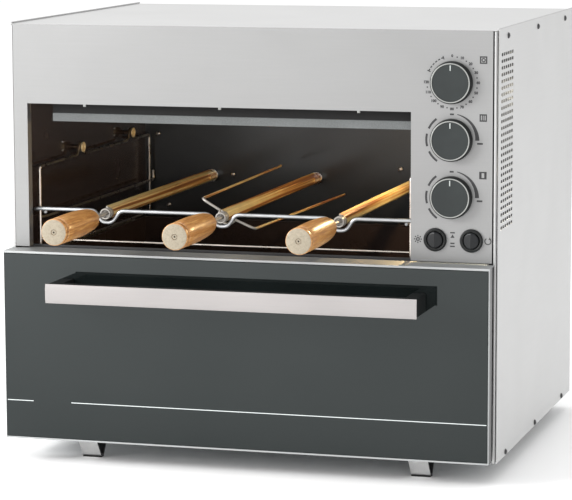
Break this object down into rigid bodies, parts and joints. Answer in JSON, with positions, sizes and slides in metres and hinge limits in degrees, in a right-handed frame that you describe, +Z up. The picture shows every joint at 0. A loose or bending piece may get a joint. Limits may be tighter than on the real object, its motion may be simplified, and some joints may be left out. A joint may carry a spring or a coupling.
{
  "type": "rotisserie oven",
  "caption": "Open-fronted electric barbecue oven: geared skewers with wooden grips turn under roof heaters, above a glass-fronted pull-out drawer.",
  "frame": {"origin": "centre of the footprint of the bounding box, on the surface that the feet stand on", "axes": "+X to the right seen from the front, +Y from the front to the back, +Z up; the window and drawer face -Y"},
  "size_m": [0.58, 0.624, 0.5136],
  "materials": {
    "satin_steel": "satin stainless sheet",
    "galvanised_steel": "galvanised sheet",
    "black_steel": "black paint, semi-matt",
    "black_enamel": "glossy black-brown vitreous enamel",
    "chrome_wire": "chromed round wire",
    "skewer_steel": "polished stainless steel",
    "heater_sheath": "heat-darkened sheath",
    "black_plastic": "satin moulded",
    "white_plastic": "moulded or ceramic",
    "bulb_glass": "clear",
    "wood": "oiled turned wood",
    "smoked_glass": "dark back-painted tempered glass",
    "silver_paint": "bright anodised strip",
    "nylon": "moulded"
  },
  "bodies": {
    "oven": {"base_pan": "galvanised_steel", "left_side_panel": "satin_steel", "right_side_panel": "satin_steel", "top_cover": "satin_steel", "back_cover": "galvanised_steel", "front_fascia": "satin_steel", "corner_trim_left": "satin_steel", "corner_trim_right": "satin_steel", "front_frame": "black_steel", "foot_front_left": "black_steel", "foot_front_right": "black_steel", "foot_rear_left": "black_steel", "foot_rear_right": "black_steel", "cord_gland": "black_plastic", "cavity_left_wall": "black_enamel", "cavity_right_wall": "black_enamel", "cavity_back_wall": "black_enamel", "cavity_reflector": "black_enamel", "heater_outer": "heater_sheath", "heater_centre": "heater_sheath", "lamp_holder": "white_plastic", "lamp_bulb": "bulb_glass", "rack_left": "chrome_wire", "rack_right": "chrome_wire", "cross_wire": "chrome_wire", "rest_bar": "chrome_wire", "timer_body": "white_plastic", "centre_regulator": "white_plastic", "outer_regulator": "white_plastic", "lamp_switch": "black_plastic", "motor_switch": "black_plastic", "gearmotor": "galvanised_steel", "gear_plate": "galvanised_steel"},
    "timer_knob": {"timer_knob": "black_plastic"},
    "centre_knob": {"centre_knob": "black_plastic"},
    "outer_knob": {"outer_knob": "black_plastic"},
    "lamp_button": {"lamp_button": "black_plastic"},
    "motor_button": {"motor_button": "black_plastic"},
    "pinion": {"motor_pinion": "nylon"},
    "idler_left": {"idler_gear_left": "nylon"},
    "idler_right": {"idler_gear_right": "nylon"},
    "drive_left": {"socket_left": "skewer_steel", "drive_gear_left": "nylon"},
    "drive_middle": {"socket_middle": "skewer_steel", "drive_gear_middle": "nylon"},
    "drive_right": {"socket_right": "skewer_steel", "drive_gear_right": "nylon"},
    "skewer_left": {"blade_left": "skewer_steel", "grip_left": "wood"},
    "skewer_middle": {"blade_middle": "skewer_steel", "grip_middle": "wood"},
    "skewer_right": {"blade_right": "skewer_steel", "grip_right": "wood"},
    "fork": {"roast_fork": "chrome_wire"},
    "drawer": {"drawer_pan": "satin_steel", "drawer_glass": "smoked_glass", "handle_body": "black_plastic", "handle_strip": "silver_paint", "drawer_box": "black_enamel"},
    "tray": {"drip_tray": "black_enamel"}
  },
  "joints": [
    {"name": "timer_turn", "type": "hinge", "parent": "oven", "child": "timer_knob", "pos_m": [0.2384, -0.154, 0.4539], "axis": [0, 1, 0], "range_deg": [-45, 270]},
    {"name": "centre_turn", "type": "hinge", "parent": "oven", "child": "centre_knob", "pos_m": [0.2384, -0.154, 0.3896], "axis": [0, 1, 0], "range_deg": [0, 100]},
    {"name": "outer_turn", "type": "hinge", "parent": "oven", "child": "outer_knob", "pos_m": [0.2384, -0.154, 0.3253], "axis": [0, 1, 0], "range_deg": [0, 100]},
    {"name": "lamp_press", "type": "slide", "parent": "oven", "child": "lamp_button", "axis": [0, 1, 0], "range_m": [0, 0.003], "stiffness_N_per_m": 300},
    {"name": "motor_press", "type": "slide", "parent": "oven", "child": "motor_button", "axis": [0, 1, 0], "range_m": [0, 0.003], "stiffness_N_per_m": 300},
    {"name": "middle_spin", "type": "hinge", "parent": "oven", "child": "drive_middle", "pos_m": [-0.0355, -0.154, 0.292], "axis": [0, 1, 0], "continuous": true},
    {"name": "left_spin", "type": "hinge", "parent": "oven", "child": "drive_left", "pos_m": [-0.1765, -0.154, 0.292], "axis": [0, 1, 0], "continuous": true},
    {"name": "right_spin", "type": "hinge", "parent": "oven", "child": "drive_right", "pos_m": [0.1055, -0.154, 0.292], "axis": [0, 1, 0], "continuous": true},
    {"name": "idler_left_spin", "type": "hinge", "parent": "oven", "child": "idler_left", "pos_m": [-0.106, -0.154, 0.292], "axis": [0, 1, 0], "continuous": true},
    {"name": "idler_right_spin", "type": "hinge", "parent": "oven", "child": "idler_right", "pos_m": [0.035, -0.154, 0.292], "axis": [0, 1, 0], "continuous": true},
    {"name": "pinion_spin", "type": "hinge", "parent": "oven", "child": "pinion", "pos_m": [-0.0355, -0.154, 0.244], "axis": [0, 1, 0], "continuous": true},
    {"name": "left_pull", "type": "slide", "parent": "drive_left", "child": "skewer_left", "axis": [0, -1, 0], "range_m": [0, 0.25]},
    {"name": "middle_pull", "type": "slide", "parent": "drive_middle", "child": "skewer_middle", "axis": [0, -1, 0], "range_m": [0, 0.0095]},
    {"name": "right_pull", "type": "slide", "parent": "drive_right", "child": "skewer_right", "axis": [0, -1, 0], "range_m": [0, 0.25]},
    {"name": "fork_slide", "type": "slide", "parent": "skewer_middle", "child": "fork", "axis": [0, 1, 0], "range_m": [0, 0.03]},
    {"name": "drawer_slide", "type": "slide", "parent": "oven", "child": "drawer", "axis": [0, -1, 0], "range_m": [0, 0.3]},
    {"name": "tray_lift", "type": "slide", "parent": "drawer", "child": "tray", "axis": [0, 0, 1], "range_m": [0, 0.12]}
  ],
  "couplings": [
    {"joint": "left_spin", "follows": "middle_spin", "ratio": 1},
    {"joint": "right_spin", "follows": "middle_spin", "ratio": 1},
    {"joint": "idler_left_spin", "follows": "middle_spin", "ratio": -0.74074},
    {"joint": "idler_right_spin", "follows": "middle_spin", "ratio": -0.74074},
    {"joint": "pinion_spin", "follows": "middle_spin", "ratio": -1.6667}
  ]
}
